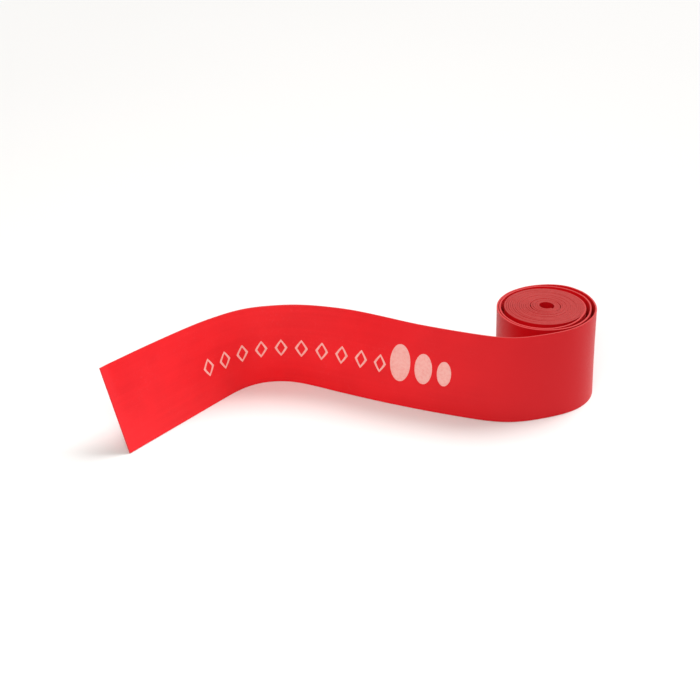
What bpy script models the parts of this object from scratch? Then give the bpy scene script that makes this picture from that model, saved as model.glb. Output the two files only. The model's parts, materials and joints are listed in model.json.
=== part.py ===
"""Stretching strap: one flat latex band, wound into an upright coil, with its free tail standing on edge.

Units are metres and +Z is up. The origin is at the middle of the bottom of the bounding box.
The band is one strip in real life. It is cut here into short solids, end to end, so that the
tail can flex and stretch at the seams and the coil can be wound and let out.
"""
import math

import bmesh
import bpy
import numpy as np

MM = 0.001
COLLECTION = "stretching_strap"

# The band itself
WIDTH = 50.0 * MM
THICKNESS = 1.0 * MM
GAP = 0.3 * MM

# The tight coil: turns at an even pitch round a small open core
PITCH = 1.17 * MM
CORE_RADIUS = 3.6 * MM
CORE_GAP = 0.35 * MM
COIL_RADIUS = 23.1 * MM
CORE_TURNS = 3.5
INNER_TURNS = 6.5
STEPS_PER_TURN = 28

# The two slack turns round it: azimuth in degrees, counter-clockwise, and radius, from the
# tail's root inwards to the tight coil
SLACK_RADII = (
    (41.5, 26.70 * MM), (46, 26.68 * MM), (60, 26.90 * MM), (75, 26.70 * MM), (91, 26.20 * MM),
    (106, 25.60 * MM), (122, 25.05 * MM), (137, 24.95 * MM), (152, 25.00 * MM), (167, 25.20 * MM),
    (181, 25.45 * MM), (211, 26.40 * MM), (240, 27.25 * MM), (269, 27.20 * MM), (298, 26.70 * MM),
    (328, 25.70 * MM), (359, 25.10 * MM), (389, 24.90 * MM), (420, 24.90 * MM), (451, 24.60 * MM),
    (466, 24.20 * MM), (482, 23.85 * MM), (512, 23.80 * MM), (541, 24.20 * MM), (571, 25.10 * MM),
    (600, 25.90 * MM), (629, 25.70 * MM), (658, 24.50 * MM), (690, COIL_RADIUS),
)
# Lean of the slack turns by azimuth, in degrees: below zero, the top edge flares outwards
SLACK_LEAN = (
    (41.5, -4.2), (60, -4.2), (75, -3.3), (91, -2.2), (110, -1.7), (140, -1.6), (160, -1.6),
    (240, -1.6), (260, -1.6), (300, -1.3), (335, -0.8), (350, -0.8), (370, -1.5), (395, -2.2),
    (420, -2.4), (450, -2.0), (480, -1.4), (500, -1.4), (610, -1.4), (630, -1.4), (690, 0.0),
)
SLACK_SPLIT_AZIMUTH = 360.0
SLACK_STEP = 9.0
WINDING_ROOM = 10.5        # degrees left open at the tight coil, so that the slack can be wound in

# The tail's plan: (length, heading in degrees at its end), and the length over which bends soften
TAIL_PLAN = (
    (63 * MM, -157.0), (19 * MM, -161.0), (25 * MM, -197.0),
    (110 * MM, -209.0), (44 * MM, -128.0), (89 * MM, -128.0),
)
BEND_SOFTENING = 10.0 * MM
# Lean of the band from upright, towards the coil's side, in degrees, along the tail
TAIL_LEAN = (
    (0 * MM, -4.2), (8 * MM, -2.9), (20 * MM, -0.7), (50 * MM, 5.0), (100 * MM, 7.9),
    (150 * MM, 8.9), (190 * MM, 11.2), (237 * MM, -2.0), (285 * MM, 11.1), (345 * MM, 22.5),
)

# The tail's seams: the first one, the length of a section, and how each seam moves.
# A hinge's number is the widest swing, in degrees, that its gap leaves room for.
FIRST_SEAM = 21.0 * MM
SECTION_LENGTH = 24.0 * MM
HINGE, SLIDE = "hinge", "slide"
SEAMS = (
    (HINGE, 10.0), (HINGE, 10.0), (HINGE, 10.0), (HINGE, 10.0),
    (SLIDE, 0.0), (SLIDE, 0.0), (SLIDE, 0.0), (SLIDE, 0.0),
    (HINGE, 18.0), (HINGE, 18.0), (HINGE, 18.0),
    (SLIDE, 0.0), (HINGE, 10.0), (HINGE, 10.0),
)
SECTION_STEP = 4.0 * MM

LATEX_RED = (0.62, 0.012, 0.018, 1.0)
LATEX_DARK = (0.50, 0.010, 0.014, 1.0)


def hermite(x, stations):
    """Smooth curve through (x, y) stations, with the slopes of the chords round each."""
    xs = np.array([station[0] for station in stations])
    ys = np.array([station[1] for station in stations])
    chords = np.diff(ys) / np.diff(xs)
    slopes = np.concatenate([chords[:1], (chords[:-1] + chords[1:]) / 2, chords[-1:]])
    x = np.clip(x, xs[0], xs[-1])
    i = np.clip(np.searchsorted(xs, x, side="right") - 1, 0, len(chords) - 1)
    span = xs[i + 1] - xs[i]
    u = (x - xs[i]) / span
    rise = u * u * (3 - 2 * u)
    return (ys[i] * (1 - rise) + ys[i + 1] * rise
            + span * (slopes[i] * u * (1 - u) ** 2 - slopes[i + 1] * u * u * (1 - u)))


def polar(radius, azimuth):
    """Points at a radius and an azimuth in degrees, as rows of x, y."""
    angle = np.radians(azimuth)
    return np.stack([radius * np.cos(angle), radius * np.sin(angle)], -1)


def slack_path(azimuth):
    return polar(hermite(azimuth, SLACK_RADII), azimuth)


def tail_heading(length, start):
    """Heading along the tail, with each bend spread over BEND_SOFTENING either side."""
    plan = ((BEND_SOFTENING, start),) + TAIL_PLAN
    ends = np.cumsum([0.0] + [piece[0] for piece in plan])
    first = start + math.degrees(BEND_SOFTENING / SLACK_RADII[0][1])
    headings = [first] + [piece[1] for piece in plan]
    spread = BEND_SOFTENING * np.arange(-4, 5) / 4
    return np.mean([np.interp(length + BEND_SOFTENING + d, ends, headings) for d in spread], axis=0)


def tail_table():
    """The tail sampled every millimetre: length, foot points and headings."""
    total = sum(piece[0] for piece in TAIL_PLAN)
    length = np.linspace(0.0, total, int(round(total / MM)) + 1)
    root, before = slack_path(np.array([SLACK_RADII[0][0], SLACK_RADII[0][0] + 0.5]))
    start = math.degrees(math.atan2(root[1] - before[1], root[0] - before[0]))
    heading = tail_heading(length, start)
    direction = polar(1.0, heading)
    steps = (direction[1:] + direction[:-1]) / 2 * (length[1] - length[0])
    foot = np.concatenate([[root], root + np.cumsum(steps, axis=0)])
    return length, foot, heading


class Band:
    """The path of the band's middle, as foot points on the floor and unit vectors up its width."""

    def __init__(self):
        self.length, self.foot, self.heading = tail_table()

    def tail(self, distances):
        foot = np.stack([np.interp(distances, self.length, self.foot[:, k]) for k in (0, 1)], -1)
        heading = np.interp(distances, self.length, self.heading)
        return self.with_lean(foot, heading, hermite(distances, TAIL_LEAN))

    def slack(self, azimuths):
        ahead = slack_path(azimuths - 0.5) - slack_path(azimuths + 0.5)
        heading = np.degrees(np.arctan2(ahead[:, 1], ahead[:, 0]))
        return self.with_lean(slack_path(azimuths), heading, hermite(azimuths, SLACK_LEAN))

    @staticmethod
    def with_lean(foot, heading, lean):
        lean = np.radians(lean)
        away = polar(1.0, heading - 90.0)
        up = np.concatenate([away * np.sin(lean)[:, None], np.cos(lean)[:, None]], -1)
        rise = THICKNESS / 2 * np.abs(np.sin(lean))
        return np.concatenate([foot, rise[:, None]], -1), up


def seam_gap(swing, lean):
    """Room at a seam, so that a leaning edge clears its neighbour at the hinge's widest swing."""
    reach = WIDTH / 2 * abs(math.sin(math.radians(lean))) + THICKNESS / 2
    return GAP + reach * math.sin(math.radians(swing))


def tail_sections():
    """Start and end of each section of the tail, with half a seam's gap left at each end."""
    total = sum(piece[0] for piece in TAIL_PLAN)
    seams = [FIRST_SEAM + i * SECTION_LENGTH for i in range(len(SEAMS))]
    gaps = [seam_gap(SEAMS[i][1], float(hermite(s, TAIL_LEAN))) for i, s in enumerate(seams)]
    ends = [s - gap / 2 for s, gap in zip(seams[1:], gaps[1:])] + [total]
    return seams, gaps, [(s + gap / 2, end) for s, gap, end in zip(seams, gaps, ends)]


def frame_shift(band):
    """Shift that puts the origin in the middle of the whole object's box."""
    foot, up = band.tail(band.length)
    slack_foot, slack_up = band.slack(np.arange(SLACK_RADII[0][0], SLACK_SPLIT_AZIMUTH, 1.0))
    edges = np.concatenate([foot, foot + up * WIDTH, slack_foot, slack_foot + slack_up * WIDTH])
    return -(edges.min(axis=0) + edges.max(axis=0))[:2] / 2


def make_material(name, colour, roughness):
    material = bpy.data.materials.new(name)
    material.use_nodes = True
    shader = material.node_tree.nodes["Principled BSDF"]
    shader.inputs["Base Color"].default_value = colour
    shader.inputs["Roughness"].default_value = roughness
    shader.inputs["Metallic"].default_value = 0.0
    return material


def make_strip(name, stations, material, collection, origin):
    """A ribbon pulled up from its foot line, given the band's thickness by Solidify."""
    foot, up = stations
    bm = bmesh.new()
    low = [bm.verts.new((p[0] - origin[0], p[1] - origin[1], p[2])) for p in foot]
    edges = [bm.edges.new(pair) for pair in zip(low[:-1], low[1:])]
    raised = bmesh.ops.extrude_edge_only(bm, edges=edges)["geom"]
    high = [item for item in raised if isinstance(item, bmesh.types.BMVert)]
    by_place = {tuple(round(c, 9) for c in vert.co): vert for vert in high}
    for vert, direction in zip(low, up):
        top = by_place[tuple(round(c, 9) for c in vert.co)]
        top.co = [c + WIDTH * d for c, d in zip(vert.co, direction)]
    bmesh.ops.recalc_face_normals(bm, faces=bm.faces[:])
    mesh = bpy.data.meshes.new(name)
    bm.to_mesh(mesh)
    bm.free()
    mesh.shade_smooth()
    mesh.set_sharp_from_angle(angle=math.radians(40))
    strip = bpy.data.objects.new(name, mesh)
    strip.location = (origin[0], origin[1], 0.0)
    collection.objects.link(strip)
    strip.data.materials.append(material)
    solidify = strip.modifiers.new("thickness", "SOLIDIFY")
    solidify.thickness = THICKNESS
    solidify.offset = 0.0
    solidify.use_even_offset = True
    return strip


def shifted(stations, shift):
    foot, up = stations
    return foot + np.array([shift[0], shift[1], 0.0]), up


def coil_stations(outer_radius, turns, last_azimuth):
    """An upright spiral that ends at last_azimuth, on outer_radius, and runs inwards."""
    steps = int(round(turns * STEPS_PER_TURN))
    azimuth = last_azimuth + 360.0 / STEPS_PER_TURN * np.arange(steps + 1)
    radius = outer_radius - PITCH * (azimuth - last_azimuth) / 360.0
    foot = np.concatenate([polar(radius, azimuth), np.zeros((steps + 1, 1))], -1)
    return (foot, np.tile([0.0, 0.0, 1.0], (steps + 1, 1))), radius[-1], azimuth[-1]


def end_gap_angle(radius):
    return math.degrees(GAP / radius)


def make_coil(material, collection, shift):
    """The tight coil in three nodes, each picking up where the one outside it ends."""
    start = SLACK_RADII[-1][0] + end_gap_angle(COIL_RADIUS)
    whole = (COIL_RADIUS - CORE_RADIUS - THICKNESS / 2 - CORE_GAP) / PITCH
    outer = whole - CORE_TURNS - INNER_TURNS
    radius = COIL_RADIUS
    names = ("coil_outer_turns", "coil_inner_turns", "coil_core_turns")
    for name, turns in zip(names, (outer, INNER_TURNS, CORE_TURNS)):
        stations, radius, azimuth = coil_stations(radius, turns, start)
        make_strip(name, shifted(stations, shift), material, collection, shift)
        start = azimuth + end_gap_angle(radius)
        if name == "coil_inner_turns":
            radius -= CORE_GAP


def make_slack(band, material, collection, shift):
    """The slack turns; the outer one runs on along the tail as far as the first seam."""
    first = SLACK_SPLIT_AZIMUTH + end_gap_angle(SLACK_RADII[0][1])
    last = SLACK_RADII[-1][0] - WINDING_ROOM
    inner = np.linspace(last, first, int((last - first) / SLACK_STEP) + 2)
    inner_stations = shifted(band.slack(inner), shift)
    make_strip("slack_turn_inner", inner_stations, material, collection, shift)
    turn = np.arange(SLACK_SPLIT_AZIMUTH, SLACK_RADII[0][0], -SLACK_STEP)
    gap = seam_gap(SEAMS[0][1], float(hermite(FIRST_SEAM, TAIL_LEAN)))
    run = np.linspace(0.0, FIRST_SEAM - gap / 2, int(FIRST_SEAM / SECTION_STEP) + 1)
    pairs = zip(band.slack(turn), band.tail(run))
    outer_stations = tuple(np.concatenate(pair) for pair in pairs)
    make_strip("slack_turn_outer", shifted(outer_stations, shift), material, collection, shift)


def make_tail(band, material, collection, shift):
    """One solid for each section, with its origin on the seam that it turns or slides at."""
    seams, _, sections = tail_sections()
    for number, (seam, (start, end)) in enumerate(zip(seams, sections), 1):
        count = int(round((end - start) / SECTION_STEP))
        stations = shifted(band.tail(np.linspace(start, end, count + 1)), shift)
        foot, up = shifted(band.tail(np.array([seam])), shift)
        origin = foot[0] + up[0] * WIDTH / 2
        make_strip(f"tail_section_{number:02d}", stations, material, collection, origin)


def main():
    for thing in list(bpy.data.objects):
        bpy.data.objects.remove(thing)
    collection = bpy.data.collections.new(COLLECTION)
    bpy.context.scene.collection.children.link(collection)
    band = Band()
    shift = frame_shift(band)
    coil_latex = make_material("coil_latex", LATEX_DARK, 0.5)
    tail_latex = make_material("tail_latex", LATEX_RED, 0.45)
    make_coil(coil_latex, collection, shift)
    make_slack(band, coil_latex, collection, shift)
    make_tail(band, tail_latex, collection, shift)


main()
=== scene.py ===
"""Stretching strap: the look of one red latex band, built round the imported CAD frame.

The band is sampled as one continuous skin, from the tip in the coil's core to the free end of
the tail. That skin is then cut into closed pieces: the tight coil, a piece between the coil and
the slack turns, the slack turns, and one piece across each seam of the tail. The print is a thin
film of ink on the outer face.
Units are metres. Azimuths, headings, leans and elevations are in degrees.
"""

import json
import math

import bpy
import numpy as np
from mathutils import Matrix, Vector

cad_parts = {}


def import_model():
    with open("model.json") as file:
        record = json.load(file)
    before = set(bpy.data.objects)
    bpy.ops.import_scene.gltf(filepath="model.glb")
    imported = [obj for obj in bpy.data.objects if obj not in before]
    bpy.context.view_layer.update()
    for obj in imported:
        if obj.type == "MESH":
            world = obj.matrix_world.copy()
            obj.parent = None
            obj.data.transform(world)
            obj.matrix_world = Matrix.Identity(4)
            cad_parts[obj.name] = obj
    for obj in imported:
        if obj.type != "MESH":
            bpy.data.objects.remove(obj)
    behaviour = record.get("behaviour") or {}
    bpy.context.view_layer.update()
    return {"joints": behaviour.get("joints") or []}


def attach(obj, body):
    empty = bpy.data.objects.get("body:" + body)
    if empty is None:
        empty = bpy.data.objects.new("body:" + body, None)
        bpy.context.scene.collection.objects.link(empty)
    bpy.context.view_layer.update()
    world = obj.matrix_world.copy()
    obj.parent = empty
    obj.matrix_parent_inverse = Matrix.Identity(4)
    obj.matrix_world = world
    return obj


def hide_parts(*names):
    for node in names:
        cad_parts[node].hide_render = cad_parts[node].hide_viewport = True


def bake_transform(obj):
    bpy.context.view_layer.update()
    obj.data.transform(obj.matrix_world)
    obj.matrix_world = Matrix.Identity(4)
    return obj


MM = 0.001

# The band and its path, as in the CAD source
WIDTH = 50.0 * MM
THICKNESS = 1.0 * MM
PITCH = 1.17 * MM
CORE_RADIUS = 3.6 * MM
CORE_GAP = 0.35 * MM
CORE_TURNS = 3.5
COIL_RADIUS = 23.1 * MM
# The slack turns, as (azimuth, radius), and their lean, as (azimuth, lean). A lean above zero tips
# the upper edge to the right of the heading, which runs from the core to the free end.
SLACK_RADII = (
    (41.5, 26.70 * MM), (46, 26.68 * MM), (60, 26.90 * MM), (75, 26.70 * MM), (91, 26.20 * MM),
    (106, 25.60 * MM), (122, 25.05 * MM), (137, 24.95 * MM), (152, 25.00 * MM), (167, 25.20 * MM),
    (181, 25.45 * MM), (211, 26.40 * MM), (240, 27.25 * MM), (269, 27.20 * MM), (298, 26.70 * MM),
    (328, 25.70 * MM), (359, 25.10 * MM), (389, 24.90 * MM), (420, 24.90 * MM), (451, 24.60 * MM),
    (466, 24.20 * MM), (482, 23.85 * MM), (512, 23.80 * MM), (541, 24.20 * MM), (571, 25.10 * MM),
    (600, 25.90 * MM), (629, 25.70 * MM), (658, 24.50 * MM), (690, COIL_RADIUS),
)
SLACK_LEAN = (
    (41.5, -4.2), (60, -4.2), (75, -3.3), (91, -2.2), (110, -1.7), (140, -1.6), (160, -1.6),
    (240, -1.6), (260, -1.6), (300, -1.3), (335, -0.8), (350, -0.8), (370, -1.5), (395, -2.2),
    (420, -2.4), (450, -2.0), (480, -1.4), (500, -1.4), (610, -1.4), (630, -1.4), (690, 0.0),
)
ROOT_AZIMUTH = SLACK_RADII[0][0]        # where the tail leaves the slack turns
COIL_AZIMUTH = SLACK_RADII[-1][0]       # where the slack turns become the tight coil
# The tail's stretches, as (length, heading at its end), and its lean, as (distance, lean)
TAIL_PLAN = (
    (63 * MM, -157.0), (19 * MM, -161.0), (25 * MM, -197.0),
    (110 * MM, -209.0), (44 * MM, -128.0), (89 * MM, -128.0),
)
TAIL_LEAN = (
    (0 * MM, -4.2), (8 * MM, -2.9), (20 * MM, -0.7), (50 * MM, 5.0), (100 * MM, 7.9),
    (150 * MM, 8.9), (190 * MM, 11.2), (237 * MM, -2.0), (285 * MM, 11.1), (345 * MM, 22.5),
)
BEND_SOFTENING = 10.0 * MM
FIRST_SEAM = 21.0 * MM
SECTION_LENGTH = 24.0 * MM
SEAM_COUNT = 14

# How finely the skin follows the line and the band's section
COIL_STEP = 5.0             # degrees
SLACK_STEP = 2.5            # degrees
TAIL_STEP = 1.0 * MM
HEADING_STEP = 0.5          # degrees either side over which the wound band's heading is taken
FACE_LINES = (0.8, 2.5, 6.5, 12.5, 19.0, 25.0, 31.0, 37.5, 43.5, 47.5, 49.2)    # mm up the width
CORNER = 0.13 * MM          # radius of the rounded corners
RIM_FADE = 1.5              # how fast a corner goes from the rim's look to the face's

# Small irregularities of the coil and of the free band
CORE_GAP_AZIMUTH = 30.0     # the loosened core shows its widest gaps at this azimuth and opposite
CORE_GAP_RANGE = (0.12 * MM, 0.5 * MM)
CORE_RAMP = 0.35            # turns over which the core's gap opens
CORE_DRIFT = (1.08 * MM, 1.35 * MM)     # how far the innermost turn lies off the coil's middle
TURN_RISE = 0.12 * MM       # how far the tight turns are raised, on average
TURN_RISE_WAVES = (17 * MM, 61 * MM)
PRESSED = 0.10              # how much thicker the tight turns are, so that their edges nearly meet
LOOSE_UP_TO = 630.0         # azimuth up to which the slack turns ripple, and carry no rise
EDGE_WAVE = 0.07 * MM       # heights of the free band's ripples
SWELL = 0.10 * MM
SLOW_WAVE = 0.12 * MM

# The piece between the coil and the slack turns, as azimuths of its ends and of the ends of its blend
WINDING_PIECE = (770.0, 620.0)
WINDING_BLEND = (750.0, 630.0)
BLEND_INSET = 4.0 * MM      # how far inside a tail piece's ends the points beside its seam are taken


def smooth(t):
    """Eased step from 0 to 1."""
    t = np.clip(t, 0.0, 1.0)
    return t * t * (3 - 2 * t)


def hermite(x, stations):
    """Smooth curve through (x, y) stations, each with the mean slope of the chords beside it."""
    xs = np.array([station[0] for station in stations])
    ys = np.array([station[1] for station in stations])
    chords = np.diff(ys) / np.diff(xs)
    slopes = np.concatenate([chords[:1], (chords[:-1] + chords[1:]) / 2, chords[-1:]])
    x = np.clip(x, xs[0], xs[-1])
    i = np.clip(np.searchsorted(xs, x, side="right") - 1, 0, len(chords) - 1)
    span = xs[i + 1] - xs[i]
    u = (x - xs[i]) / span
    rise = u * u * (3 - 2 * u)
    return (ys[i] * (1 - rise) + ys[i + 1] * rise
            + span * (slopes[i] * u * (1 - u) ** 2 - slopes[i + 1] * u * u * (1 - u)))


def polar(radius, azimuth):
    """Plan points at a radius and an azimuth in degrees."""
    angle = np.radians(azimuth)
    return np.stack([radius * np.cos(angle), radius * np.sin(angle)], -1)


# ---------------------------------------------------------------- the band's line

COIL_TURNS = (COIL_RADIUS - CORE_RADIUS - THICKNESS / 2 - CORE_GAP) / PITCH
TIP_AZIMUTH = COIL_AZIMUTH + 360.0 * COIL_TURNS


def coil_path(azimuth):
    """The tight turns, whose core is a little loose and a little off the middle."""
    inwards = (azimuth - COIL_AZIMUTH) / 360.0
    in_core = smooth((inwards - (COIL_TURNS - CORE_TURNS)) / CORE_RAMP + 0.5)
    squeeze = np.cos(np.radians(azimuth - CORE_GAP_AZIMUTH)) ** 2
    gap = CORE_GAP_RANGE[0] + (CORE_GAP_RANGE[1] - CORE_GAP_RANGE[0]) * squeeze
    radius = COIL_RADIUS - PITCH * inwards - in_core * gap
    return polar(radius, azimuth) + np.outer(inwards / COIL_TURNS, CORE_DRIFT)


def wound_path(azimuth):
    """Plan points of the slack turns and, past COIL_AZIMUTH, of the tight ones."""
    slack = polar(hermite(azimuth, SLACK_RADII), azimuth)
    return np.where((azimuth < COIL_AZIMUTH)[:, None], slack, coil_path(azimuth))


def tail_heading(length, start):
    """Heading along the tail, with each bend spread over BEND_SOFTENING either side. Before the
    root the heading turns as the slack turns do there."""
    plan = ((BEND_SOFTENING, start),) + TAIL_PLAN
    ends = np.cumsum([0.0] + [piece[0] for piece in plan])
    first = start + math.degrees(BEND_SOFTENING / SLACK_RADII[0][1])
    headings = [first] + [piece[1] for piece in plan]
    spread = np.linspace(-BEND_SOFTENING, BEND_SOFTENING, 9)
    return np.mean([np.interp(length + BEND_SOFTENING + d, ends, headings) for d in spread], axis=0)


def wound_stations():
    """Azimuths, foot points, headings and leans from the core's tip out to the tail's root."""
    coil_steps = int(round((TIP_AZIMUTH - COIL_AZIMUTH) / COIL_STEP))
    slack_steps = int(round((COIL_AZIMUTH - ROOT_AZIMUTH) / SLACK_STEP))
    coil = np.linspace(TIP_AZIMUTH, COIL_AZIMUTH, coil_steps + 1)
    slack = np.linspace(COIL_AZIMUTH, ROOT_AZIMUTH, slack_steps + 1)
    azimuth = np.concatenate([coil, slack[1:]])
    ahead = wound_path(azimuth - HEADING_STEP) - wound_path(azimuth + HEADING_STEP)
    heading = np.degrees(np.arctan2(ahead[:, 1], ahead[:, 0]))
    lean = hermite(azimuth, SLACK_LEAN)
    return azimuth, wound_path(azimuth), heading, lean


def tail_stations():
    """Distances, foot points, headings and leans from the tail's root out to its free end."""
    total = sum(piece[0] for piece in TAIL_PLAN)
    length = np.linspace(0.0, total, int(round(total / TAIL_STEP)) + 1)
    root, before = wound_path(np.array([ROOT_AZIMUTH, ROOT_AZIMUTH + HEADING_STEP]))
    start = math.degrees(math.atan2(root[1] - before[1], root[0] - before[0]))
    heading = tail_heading(length, start)
    direction = polar(1.0, heading)
    steps = (direction[1:] + direction[:-1]) / 2 * (length[1] - length[0])
    foot = np.concatenate([[root], root + np.cumsum(steps, axis=0)])
    return length, foot, heading, hermite(length, TAIL_LEAN)


class BandLine:
    """The band's line at every station: distance along it, foot point, and the directions up its
    width and through its thickness. Distance is zero at the tail's root, negative inside it."""

    def __init__(self, axis):
        azimuth, wound, wound_headings, wound_lean = wound_stations()
        length, tail, tail_headings, tail_lean = tail_stations()
        gaps = np.linalg.norm(np.diff(wound, axis=0), axis=1)
        inside = np.concatenate([[0.0], np.cumsum(gaps)]) - gaps.sum()
        self.azimuth = azimuth
        self.along = np.concatenate([inside, length[1:]])
        plan = np.concatenate([wound, tail[1:]]) + np.array(axis)
        heading = np.concatenate([wound_headings, tail_headings[1:]])
        lean = np.radians(np.concatenate([wound_lean, tail_lean[1:]]))
        away = polar(1.0, heading - 90.0)
        self.up = np.column_stack([away * np.sin(lean)[:, None], np.cos(lean)])
        self.through = np.column_stack([away * np.cos(lean)[:, None], -np.sin(lean)])
        tight = np.zeros(len(plan))
        tight[:len(azimuth)] = smooth((azimuth - LOOSE_UP_TO) / (COIL_AZIMUTH - LOOSE_UP_TO))
        unevenness = np.sin(self.along / TURN_RISE_WAVES[0]) * np.cos(self.along / TURN_RISE_WAVES[1])
        height = THICKNESS / 2 * np.abs(np.sin(lean)) + tight * TURN_RISE * (1 + unevenness)
        self.foot = np.column_stack([plan, height])
        self.loose = 1.0 - tight

    def index(self, along):
        """Station nearest to a distance along the band."""
        return int(np.argmin(np.abs(self.along - along)))

    def index_at_azimuth(self, azimuth):
        """Wound station nearest to an azimuth."""
        return int(np.argmin(np.abs(self.azimuth - azimuth)))

    def middle(self, along):
        """Point at half the width, for the start and end of a blend."""
        i = self.index(along)
        return tuple(self.foot[i] + self.up[i] * WIDTH / 2)

    def place(self, along, across, through):
        """Points at any distance along the band, distance across it and offset through it."""
        def at(table):
            return np.stack([np.interp(along, self.along, table[:, k]) for k in range(3)], -1)
        loose = np.interp(along, self.along, self.loose)
        depth = through + loose * ripple(along, across)
        return at(self.foot) + at(self.up) * across[..., None] + at(self.through) * depth[..., None]


def ripple(along, across):
    """How far the free band waves out of its even surface: a quick wave near the upper edge, a
    swell in the middle and a slow wave that grows with height."""
    u = across / WIDTH
    edge = (2 * u - 1) ** 2
    quick = EDGE_WAVE * np.sin(along / (6.3 * MM) + 0.8) * np.sin(along / (23 * MM)) * edge * u
    swell = SWELL * np.sin(along / (14.5 * MM) + 2.1) * np.sin(math.pi * u)
    slow = SLOW_WAVE * np.sin(along / (31 * MM) + 0.4) * np.sin(math.pi * u * 1.5) * u
    return quick + swell + slow


def ripple_slope(along, across):
    """How fast the ripple changes up the width."""
    step = 0.05 * MM
    return (ripple(along, across + step) - ripple(along, across - step)) / (2 * step)


# ---------------------------------------------------------------- the band's cross-section

def profile():
    """Points round the section, as (across, through, outward normal across and through, rim)."""
    half, r = THICKNESS / 2, CORNER
    face = [r] + [place * MM for place in FACE_LINES] + [WIDTH - r]
    points = [(across, -half, 0.0, -1.0, 0.0) for across in face]
    points += corner_points(WIDTH - r, -half + r, (-60.0, -30.0, 0.0))
    points += [(WIDTH, 0.0, 1.0, 0.0, 1.0)]
    points += corner_points(WIDTH - r, half - r, (0.0, 30.0, 60.0))
    points += [(across, half, 0.0, 1.0, 0.0) for across in face[::-1]]
    points += corner_points(r, half - r, (120.0, 150.0, 180.0))
    points += [(0.0, 0.0, -1.0, 0.0, 1.0)]
    points += corner_points(r, -half + r, (180.0, 210.0, 240.0))
    return np.array(points)


def corner_points(across, through, angles):
    """Points of a rounded corner about its centre. At 0 and 180 degrees it meets the rims."""
    out = []
    for angle in angles:
        c, s = math.cos(math.radians(angle)), math.sin(math.radians(angle))
        out.append((across + CORNER * c, through + CORNER * s, c, s, abs(c) ** RIM_FADE))
    return out


class Skin:
    """The whole band's surface on one grid of stations by profile points, to be cut into pieces."""

    def __init__(self, line):
        section = profile()
        across, through, _, _, rim = section.T
        along = line.along[:, None] + 0 * across[None, :]
        wide = across[None, :] + 0 * along
        loose = line.loose[:, None]
        thicker = 1 + PRESSED * (1 - loose)
        depth = through[None, :] * thicker + loose * ripple(along, wide)
        up, out = line.up[:, None, :], line.through[:, None, :]
        self.points = line.foot[:, None, :] + up * wide[..., None] + out * depth[..., None]
        ahead = np.gradient(self.points, axis=0)
        self.normals = self.outward(section, ahead, up, out, loose * ripple_slope(along, wide))
        self.ahead = ahead.mean(axis=1)
        self.ahead /= np.linalg.norm(self.ahead, axis=1)[:, None]
        self.band = np.stack([along, wide, through[None, :] + 0 * along], -1)
        self.rim = np.tile(rim, (len(along), 1))

    @staticmethod
    def outward(section, ahead, up, out, slope):
        """Unit normals, from the way ahead and the way round the section at every point."""
        normal_across, normal_through = section.T[2:4]
        turn_across, turn_through = -normal_through, normal_across
        turning = up * turn_across[None, :, None] + out * (turn_through + slope * turn_across)[..., None]
        normals = np.cross(ahead, turning)
        facing = up * normal_across[None, :, None] + out * normal_through[None, :, None]
        normals *= np.sign((normals * facing).sum(-1))[..., None]
        return normals / np.linalg.norm(normals, axis=-1)[..., None]

    def piece(self, name, first, last, material):
        """Closed mesh from station first to station last, with the grid's normals on its sides."""
        points = self.points[first:last + 1]
        rings, sides = points.shape[:2]
        ids = np.arange(rings * sides).reshape(rings, sides)
        after = np.roll(ids, -1, axis=1)
        quads = np.stack([ids[:-1], after[:-1], after[1:], ids[1:]], -1).reshape(-1, 4)
        faces = quads.tolist() + [ids[0][::-1].tolist(), ids[-1].tolist()]
        mesh = bpy.data.meshes.new(name)
        mesh.from_pydata(points.reshape(-1, 3).tolist(), [], faces)
        own = self.normals[first:last + 1].reshape(-1, 3)
        start_cap = np.tile(-self.ahead[first], (sides, 1))
        end_cap = np.tile(self.ahead[last], (sides, 1))
        finish_mesh(mesh, np.concatenate([own[quads.ravel()], start_cap, end_cap]))
        store(mesh, "band", self.band[first:last + 1].reshape(-1, 3), "FLOAT_VECTOR")
        store(mesh, "rim", self.rim[first:last + 1].ravel(), "FLOAT")
        return new_object(name, mesh, material)


def finish_mesh(mesh, corner_normals):
    """Smooth shading with a given normal at every corner of every face."""
    mesh.polygons.foreach_set("use_smooth", [True] * len(mesh.polygons))
    mesh.update()
    mesh.normals_split_custom_set(corner_normals.tolist())


def store(mesh, name, values, kind):
    """Keeps a value or vector on every point, for the materials to read."""
    attribute = mesh.attributes.new(name, kind, "POINT")
    field = "vector" if kind == "FLOAT_VECTOR" else "value"
    attribute.data.foreach_set(field, np.asarray(values, np.float32).ravel())


def new_object(name, mesh, material):
    thing = bpy.data.objects.new(name, mesh)
    bpy.context.scene.collection.objects.link(thing)
    mesh.materials.append(material)
    return thing


# ---------------------------------------------------------------- materials

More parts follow.
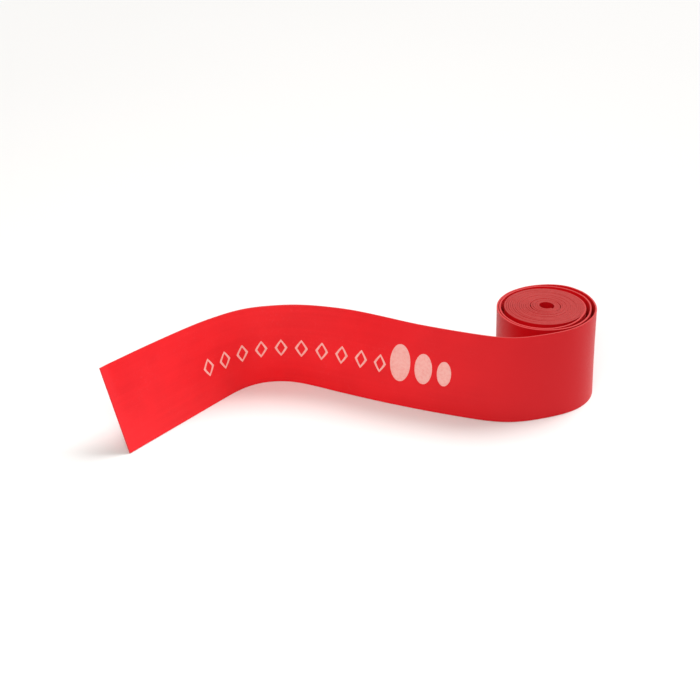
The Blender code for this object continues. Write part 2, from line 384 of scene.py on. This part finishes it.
class Nodes:
    """Short ways to add nodes to a material's tree."""

    def __init__(self, name):
        self.material = bpy.data.materials.new(name)
        self.material.use_nodes = True
        self.tree = self.material.node_tree
        self.shader = self.tree.nodes["Principled BSDF"]

    def link(self, source, target):
        self.tree.links.new(source, target)

    def node(self, kind, **settings):
        made = self.tree.nodes.new(kind)
        for key, value in settings.items():
            setattr(made, key, value)
        return made

    def attribute(self, name, output):
        return self.node("ShaderNodeAttribute", attribute_name=name).outputs[output]

    def scaled(self, vector, scale):
        """The vector with its three parts scaled one by one."""
        made = self.node("ShaderNodeVectorMath", operation="MULTIPLY")
        self.link(vector, made.inputs[0])
        made.inputs[1].default_value = scale
        return made.outputs[0]

    def noise(self, vector, scale, detail, roughness):
        made = self.node("ShaderNodeTexNoise")
        self.link(vector, made.inputs["Vector"])
        made.inputs["Scale"].default_value = scale
        made.inputs["Detail"].default_value = detail
        made.inputs["Roughness"].default_value = roughness
        return made.outputs["Fac"]

    def ramp(self, value, low, high, to_low=0.0, to_high=1.0):
        """Eased step between two values of an input."""
        made = self.node("ShaderNodeMapRange", interpolation_type="SMOOTHSTEP")
        self.link(value, made.inputs["Value"])
        made.inputs["From Min"].default_value = low
        made.inputs["From Max"].default_value = high
        made.inputs["To Min"].default_value = to_low
        made.inputs["To Max"].default_value = to_high
        return made.outputs["Result"]

    def mix(self, factor, first, second):
        made = self.node("ShaderNodeMix", data_type="RGBA")
        self.link(factor, made.inputs["Factor"])
        for socket, colour in ((made.inputs["A"], first), (made.inputs["B"], second)):
            if isinstance(colour, tuple):
                socket.default_value = colour
            else:
                self.link(colour, socket)
        return made.outputs["Result"]

    def math(self, operation, *values):
        made = self.node("ShaderNodeMath", operation=operation)
        for socket, value in zip(made.inputs, values):
            if isinstance(value, (int, float)):
                socket.default_value = value
            else:
                self.link(value, socket)
        return made.outputs[0]

    def bump(self, height, distance, strength, below=None):
        made = self.node("ShaderNodeBump")
        made.inputs["Strength"].default_value = strength
        made.inputs["Distance"].default_value = distance
        self.link(height, made.inputs["Height"])
        if below is not None:
            self.link(below, made.inputs["Normal"])
        return made.outputs["Normal"]


# Latex: its two ground colours, its streaks, the painted shade of the roll's faces, and the talc
LATEX_DEEP = (0.72, 0.0020, 0.0070, 1)
LATEX_BRIGHT = (0.79, 0.0035, 0.0090, 1)
LATEX_STREAK = (0.86, 0.012, 0.016, 1)
LATEX_PAINTED_SHADE = (0.57, 0.0020, 0.0065, 1)
TALC = (0.90, 0.42, 0.42, 1)
# The cut rim: painted glow on the loose turns, painted shade on the tight ones, and the mottle on both
RIM_LOOSE_PAINTED_GLOW = (0.66, 0.050, 0.052, 1)
RIM_TIGHT_PAINTED_SHADE = (0.45, 0.027, 0.025, 1)
RIM_MOTTLE = (0.52, 0.060, 0.058, 1)
INK_FULL = (0.86, 0.45, 0.41, 1)
INK_THIN = (0.82, 0.33, 0.295, 1)
INK_PINHOLE = (0.80, 0.05, 0.05, 1)
FLOOR_TONES = (0.90, 0.895, 0.89, 1), (0.92, 0.915, 0.91, 1)

# Distances along the band over which its look and its painted shade change, and the depth that parts its
# two faces
TIGHT_RANGE = (-340 * MM, -280 * MM)
PAINTED_SHADE_RANGE = (60 * MM, 190 * MM)
OUTER_SIDE = (-0.3 * MM, 0.3 * MM)

STREAK_STRETCH = (9.0, 420.0, 420.0)     # long along the band, fine across it
MOTTLE_STRETCH = (260.0, 700.0, 700.0)


def latex_material():
    """Satin natural latex: a fine grain, faint lengthwise streaks, a dusting of talc, a cut rim with
    painted glow on the loose turns and painted shade on the tight ones, and painted shade on the roll's
    faces, where no light comes through the latex, which fades out along the tail."""
    n = Nodes("latex_red")
    band = n.attribute("band", "Vector")
    rim = n.attribute("rim", "Fac")
    streaks = n.noise(n.scaled(band, STREAK_STRETCH), scale=1.0, detail=3.0, roughness=0.5)
    dust = n.noise(band, scale=900.0, detail=4.0, roughness=0.7)
    parts = n.node("ShaderNodeSeparateXYZ")
    n.link(band, parts.inputs[0])
    tight = n.ramp(parts.outputs["X"], *TIGHT_RANGE, 1.0, 0.0)
    # painted shade on the roll's faces, where no light comes through the latex
    face = n.mix(painted_shade_share(n, parts, tight), latex_ground(n, band, streaks, dust), LATEX_PAINTED_SHADE)
    # painted glow on the loose rims, painted shade on the tight ones
    colour = n.mix(n.ramp(rim, 0.1, 0.8), face, rim_glow_and_shade(n, band, tight))
    n.link(colour, n.shader.inputs["Base Color"])
    rough = n.ramp(dust, 0.3, 0.7, 0.40, 0.50)
    n.link(n.math("ADD", rough, n.math("MULTIPLY", rim, 0.12)), n.shader.inputs["Roughness"])
    grain = n.noise(band, scale=2600.0, detail=2.0, roughness=0.6)
    normal = n.bump(grain, distance=0.02 * MM, strength=0.35)
    normal = n.bump(streaks, distance=0.05 * MM, strength=0.25, below=normal)
    n.link(normal, n.shader.inputs["Normal"])
    for key, value in (("Specular IOR Level", 0.24), ("Sheen Weight", 0.02), ("Sheen Roughness", 0.45),
                       ("Coat Weight", 0.02), ("Coat Roughness", 0.32)):
        n.shader.inputs[key].default_value = value
    n.shader.inputs["Sheen Tint"].default_value = (1.0, 0.75, 0.75, 1)
    return n.material


def latex_ground(n, band, streaks, dust):
    """Cloudy red with brighter streaks, and talc that lies in patches."""
    clouds = n.noise(band, scale=34.0, detail=3.0, roughness=0.55)
    colour = n.mix(n.ramp(clouds, 0.3, 0.7), LATEX_DEEP, LATEX_BRIGHT)
    colour = n.mix(n.ramp(streaks, 0.35, 0.75, 0.0, 0.22), colour, LATEX_STREAK)
    patches = n.ramp(n.noise(band, scale=60.0, detail=4.0, roughness=0.6), 0.42, 0.75)
    most = n.math("ADD", 0.02, n.math("MULTIPLY", patches, 0.07))
    return n.mix(n.math("MULTIPLY", n.ramp(dust, 0.5, 0.8), most), colour, TALC)


def painted_shade_share(n, parts, tight):
    """Share of painted shade, where no light comes through the latex: 1 on the roll's outer faces and on
    both faces of its tight turns, fading out along the tail.
    """
    shade_fade = n.ramp(parts.outputs["X"], *PAINTED_SHADE_RANGE, 1.0, 0.0)
    outer_side = n.ramp(parts.outputs["Z"], *OUTER_SIDE, 1.0, 0.0)
    return n.math("MULTIPLY", shade_fade, n.math("MAXIMUM", outer_side, tight))


def rim_glow_and_shade(n, band, tight):
    """The mottled rim, with painted glow on the loose turns and painted shade, darker, on the tight
    turns.
    """
    mottle = n.noise(n.scaled(band, MOTTLE_STRETCH), scale=1.0, detail=3.0, roughness=0.6)
    return n.mix(n.ramp(mottle, 0.3, 0.7, 0.0, 0.35), n.mix(tight, RIM_LOOSE_PAINTED_GLOW, RIM_TIGHT_PAINTED_SHADE), RIM_MOTTLE)


def ink_material():
    """White screen ink on red latex: the red warms it, and shows through at pinholes and thin spots."""
    n = Nodes("print_ink")
    band = n.attribute("band", "Vector")
    thin = n.ramp(n.noise(band, scale=700.0, detail=4.0, roughness=0.65), 0.35, 0.75)
    fine = n.noise(band, scale=2400.0, detail=2.0, roughness=0.6)
    pinholes = n.ramp(fine, 0.68, 0.74, 0.0, 0.6)
    colour = n.mix(pinholes, n.mix(thin, INK_FULL, INK_THIN), INK_PINHOLE)
    n.link(colour, n.shader.inputs["Base Color"])
    n.link(n.ramp(thin, 0.0, 1.0, 0.5, 0.6), n.shader.inputs["Roughness"])
    grain = n.noise(band, scale=2600.0, detail=2.0, roughness=0.6)
    n.link(n.bump(grain, distance=0.015 * MM, strength=0.4), n.shader.inputs["Normal"])
    n.shader.inputs["Specular IOR Level"].default_value = 0.35
    return n.material


def floor_material():
    """Matt near-white floor with a barely uneven tone."""
    n = Nodes("studio_floor")
    place = n.node("ShaderNodeTexCoord").outputs["Object"]
    tone = n.noise(place, scale=3.0, detail=2.0, roughness=0.5)
    n.link(n.mix(tone, *FLOOR_TONES), n.shader.inputs["Base Color"])
    n.link(n.ramp(tone, 0.3, 0.7, 0.75, 0.85), n.shader.inputs["Roughness"])
    n.shader.inputs["Specular IOR Level"].default_value = 0.15
    return n.material


# ---------------------------------------------------------------- the print

FILM = (-0.12 * MM, 0.035 * MM)      # from just inside the latex to just proud of it
FILM_SHARP_ANGLE = 50.0              # degrees, above which a film's edge isn't smoothed
MARKS = 10                           # lozenges in the row
MARK_START = 172.5 * MM              # distance along the tail of the first one's middle
MARK_PITCH = 12.0 * MM
MARK_HEIGHT = 22.5 * MM              # of their middles, up the width
MARK_SIZE = (7.9 * MM, 11.2 * MM)    # along and across
MARK_STROKE = 1.5 * MM
ROUNDING = 0.14                      # share by which a lozenge's outline goes towards an oval's
ROUND_SIZE = 0.8                     # size of that oval against the lozenge
# Ovals, as (middle along, lowest point across, size along, size across)
OVALS = (
    (160.0 * MM, 14.5 * MM, 12.5 * MM, 22.0 * MM),
    (145.8 * MM, 15.5 * MM, 10.5 * MM, 18.0 * MM),
    (133.4 * MM, 16.5 * MM, 8.4 * MM, 14.5 * MM),
)


def film(name, line, along, across, closed, material):
    """A thin closed film over a grid of (along, across) points on the band's outer face. closed
    says that the grid's first direction comes back to where it starts."""
    outer = -THICKNESS / 2
    buried = line.place(along, across, np.full(along.shape, outer - FILM[0]))
    proud = line.place(along, across, np.full(along.shape, outer - FILM[1]))
    points = np.concatenate([proud.reshape(-1, 3), buried.reshape(-1, 3)])
    mesh = bpy.data.meshes.new(name)
    mesh.from_pydata(points.tolist(), [], film_faces(*along.shape, closed))
    mesh.polygons.foreach_set("use_smooth", [True] * len(mesh.polygons))
    mesh.update()
    mesh.set_sharp_from_angle(angle=math.radians(FILM_SHARP_ANGLE))
    flat = np.stack([along, across, np.full(along.shape, outer)], -1).reshape(-1, 3)
    store(mesh, "band", np.concatenate([flat, flat]), "FLOAT_VECTOR")
    return new_object(name, mesh, material)


def film_faces(rows, cols, closed):
    """Faces of a film whose proud points come first and whose buried ones follow in step."""
    count = rows * cols
    ids = np.arange(count).reshape(rows, cols).tolist()
    faces = []
    for i in range(rows if closed else rows - 1):
        here, after = ids[i], ids[(i + 1) % rows]
        for j in range(cols - 1):
            a, b, c, d = here[j], after[j], after[j + 1], here[j + 1]
            faces += [(a, d, c, b), (a + count, b + count, c + count, d + count)]
    if closed:
        for j, flip in ((0, True), (cols - 1, False)):
            ring = [row[j] for row in ids]
            faces += wall(ring + ring[:1], count, flip)
        return faces
    last_side = [row[-1] for row in ids[1:]]
    first_side = [row[0] for row in ids[-2::-1]]
    return faces + wall(ids[0] + last_side + ids[-1][-2::-1] + first_side, count, False)


def wall(ring, count, flip):
    """Quads that close a film between the proud and the buried points of an outline."""
    quads = [(a, a + count, b + count, b) for a, b in zip(ring[:-1], ring[1:])]
    return [q[::-1] for q in quads] if flip else quads


def oval_grid(centre, size, steps=12):
    """A square grid drawn onto an oval."""
    u, v = np.meshgrid(np.linspace(-1, 1, steps + 1), np.linspace(-1, 1, steps + 1), indexing="ij")
    x, y = u * np.sqrt(1 - v * v / 2), v * np.sqrt(1 - u * u / 2)
    return centre[0] + x * size[0] / 2, centre[1] + y * size[1] / 2


def lozenge_grid(centre, size, stroke, steps=6):
    """The outline of a lozenge with softened corners, as a closed strip that is stroke wide."""
    corners = np.array([(1, 0), (0, 1), (-1, 0), (0, -1), (1, 0)], float)
    turn = np.linspace(0, 4, 4 * steps, endpoint=False)
    side = np.floor(turn).astype(int)
    part = (turn - side)[:, None]
    straight = corners[side] * (1 - part) + corners[side + 1] * part
    oval = polar(ROUND_SIZE, turn * 90.0)
    shape = (1 - ROUNDING) * straight + ROUNDING * oval
    outer = np.array(size) / 2
    rings = [centre + shape * (outer - share * stroke) for share in (0.0, 0.5, 1.0)]
    grid = np.stack(rings, 1)
    return grid[..., 0], grid[..., 1]


# ---------------------------------------------------------------- pieces

def make_band(line, skin, latex):
    """The band's seventeen pieces, from the coil out to the free end."""
    wind_in, wind_out = (line.index_at_azimuth(a) for a in WINDING_PIECE)
    root = line.index(FIRST_SEAM - SECTION_LENGTH / 2)
    coil = skin.piece("band_coil", 0, wind_in, latex)
    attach(coil, "coil")
    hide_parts("coil_core_turns", "coil_inner_turns", "coil_outer_turns")
    winding = skin.piece("band_winding", wind_in, wind_out, latex)
    ends = [line.foot[line.index_at_azimuth(a)] + (0, 0, WIDTH / 2) for a in WINDING_BLEND]
    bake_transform(winding)
    slack = skin.piece("band_slack", wind_out, root, latex)
    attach(slack, "slack")
    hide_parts("slack_turn_inner", "slack_turn_outer")
    for number in range(1, SEAM_COUNT + 1):
        start, end = seam_span(line, number)
        piece = skin.piece(f"band_tail_{number:02d}", line.index(start), line.index(end), latex)
        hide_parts(f"tail_section_{number:02d}")
        bend_at_seam(line, piece, number)


def seam_place(number):
    """Distance along the tail of a seam between two sections, counted from 1."""
    return FIRST_SEAM + (number - 1) * SECTION_LENGTH


def seam_span(line, number):
    """Start and end of the piece across a seam: half a section before it to half a section after
    it, and for the last one to the free end."""
    seam = seam_place(number)
    end = line.along[-1] if number == SEAM_COUNT else seam + SECTION_LENGTH / 2
    return seam - SECTION_LENGTH / 2, end


def bend_at_seam(line, piece, number):
    """Finds the points at half the width either side of the seam, over the middle of the piece's span,
    and bakes the piece's transform into its mesh.
    """
    seam = seam_place(number)
    reach = SECTION_LENGTH / 2 - BLEND_INSET
    line.middle(seam - reach)
    line.middle(seam + reach)
    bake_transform(piece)


def seam_of(along):
    """Number of the seam whose piece holds this place on the tail."""
    return int((along - FIRST_SEAM + SECTION_LENGTH / 2) // SECTION_LENGTH) + 1


def make_print(line, ink):
    """A row of outlined lozenges and three plain ovals, in the places of a word and its device."""
    for number in range(MARKS):
        centre = np.array([MARK_START + number * MARK_PITCH, MARK_HEIGHT])
        grid = lozenge_grid(centre, MARK_SIZE, MARK_STROKE)
        put_film(f"print_lozenge_{number + 1:02d}", line, grid, True, centre[0], ink)
    for number, (place, low, size_along, size_across) in enumerate(OVALS, 1):
        grid = oval_grid((place, low + size_across / 2), (size_along, size_across))
        put_film(f"print_oval_{number}", line, grid, False, place, ink)


def put_film(name, line, grid, closed, place, ink):
    """Adds one mark of the print, with its transform baked as for the piece of band under its middle."""
    piece = film(name, line, grid[0], grid[1], closed, ink)
    bend_at_seam(line, piece, seam_of(place))


# ---------------------------------------------------------------- camera, floor and light

LENS = 102.857              # mm
SENSOR = 36.0               # mm
ELEVATION = 28.0            # degrees
DISTANCE = 1.1941
AIM_FROM_COIL = (-0.1103, 0.0417)   # where the camera looks on the floor, from the coil's axis
CLIP = (0.05, 50.0)
FLOOR_HALF = 6.0
FLOOR_DROP = 0.05 * MM      # below the object's lowest points, so that no faces coincide
WORLD_COLOUR = (1.0, 0.98, 0.945, 1)
WORLD_STRENGTH = 0.42


def make_camera(axis):
    camera = bpy.data.objects.new("camera", bpy.data.cameras.new("camera"))
    bpy.context.scene.collection.objects.link(camera)
    camera.data.lens, camera.data.sensor_width = LENS, SENSOR
    aim = Vector((axis[0] + AIM_FROM_COIL[0], axis[1] + AIM_FROM_COIL[1], 0.0))
    tilt = math.radians(ELEVATION)
    camera.location = aim + DISTANCE * Vector((0.0, -math.cos(tilt), math.sin(tilt)))
    camera.rotation_euler = (math.radians(90.0) - tilt, 0.0, 0.0)
    camera.data.clip_start, camera.data.clip_end = CLIP
    bpy.context.scene.camera = camera


def make_floor():
    half = FLOOR_HALF
    corners = [(-half, -half, 0), (half, -half, 0), (half, half, 0), (-half, half, 0)]
    mesh = bpy.data.meshes.new("floor")
    mesh.from_pydata(corners, [], [(0, 1, 2, 3)])
    floor = new_object("floor", mesh, floor_material())
    floor.location.z = -FLOOR_DROP


def new_light(kind, name, azimuth, elevation):
    """A light shining from an azimuth and an elevation, and the unit vector towards it. Azimuth 0
    is behind the object as the camera sees it, 90 to the left."""
    light = bpy.data.objects.new(name, bpy.data.lights.new(name, kind))
    bpy.context.scene.collection.objects.link(light)
    a, e = math.radians(azimuth), math.radians(elevation)
    way = Vector((-math.sin(a) * math.cos(e), math.cos(a) * math.cos(e), math.sin(e)))
    light.rotation_euler = way.to_track_quat("Z", "Y").to_euler()
    return light, way


def sun_light(name, azimuth, elevation, strength, angle):
    """An even light over the whole floor. A wide angle makes its shadows soft."""
    light, _ = new_light("SUN", name, azimuth, elevation)
    light.data.energy, light.data.angle = strength, math.radians(angle)


def area_light(name, azimuth, elevation, distance, size, power, colour, aim, spread=180.0):
    """A square softbox, aimed at a point from a distance."""
    light, way = new_light("AREA", name, azimuth, elevation)
    light.data.shape, light.data.size = "SQUARE", size
    light.data.energy, light.data.color = power, colour
    light.data.spread = math.radians(spread)
    light.location = Vector(aim) + way * distance


def make_light():
    world = bpy.data.worlds.new("studio")
    world.use_nodes = True
    background = world.node_tree.nodes["Background"]
    background.inputs["Color"].default_value = WORLD_COLOUR
    background.inputs["Strength"].default_value = WORLD_STRENGTH
    bpy.context.scene.world = world
    sun_light("back", azimuth=-44.0, elevation=54.0, strength=2.38, angle=33.0)
    area_light("front", azimuth=176.0, elevation=38.0, distance=0.75, size=0.3, power=0.26,
               colour=(1.0, 0.97, 0.93), aim=(-0.025, 0.0, 0.03), spread=50.0)
    area_light("side", azimuth=-86.0, elevation=8.0, distance=1.4, size=0.7, power=3.9,
               colour=(0.93, 0.98, 1.1), aim=(0.0, 0.0, 0.03))


def main():
    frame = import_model()
    winding = next(joint for joint in frame["joints"] if joint["name"] == "winding")
    axis = winding["pos_m"][:2]
    make_camera(axis)
    line = BandLine(axis)
    make_band(line, Skin(line), latex_material())
    make_print(line, ink_material())
    make_floor()
    make_light()
    bpy.context.scene.view_settings.view_transform = "Standard"


main()
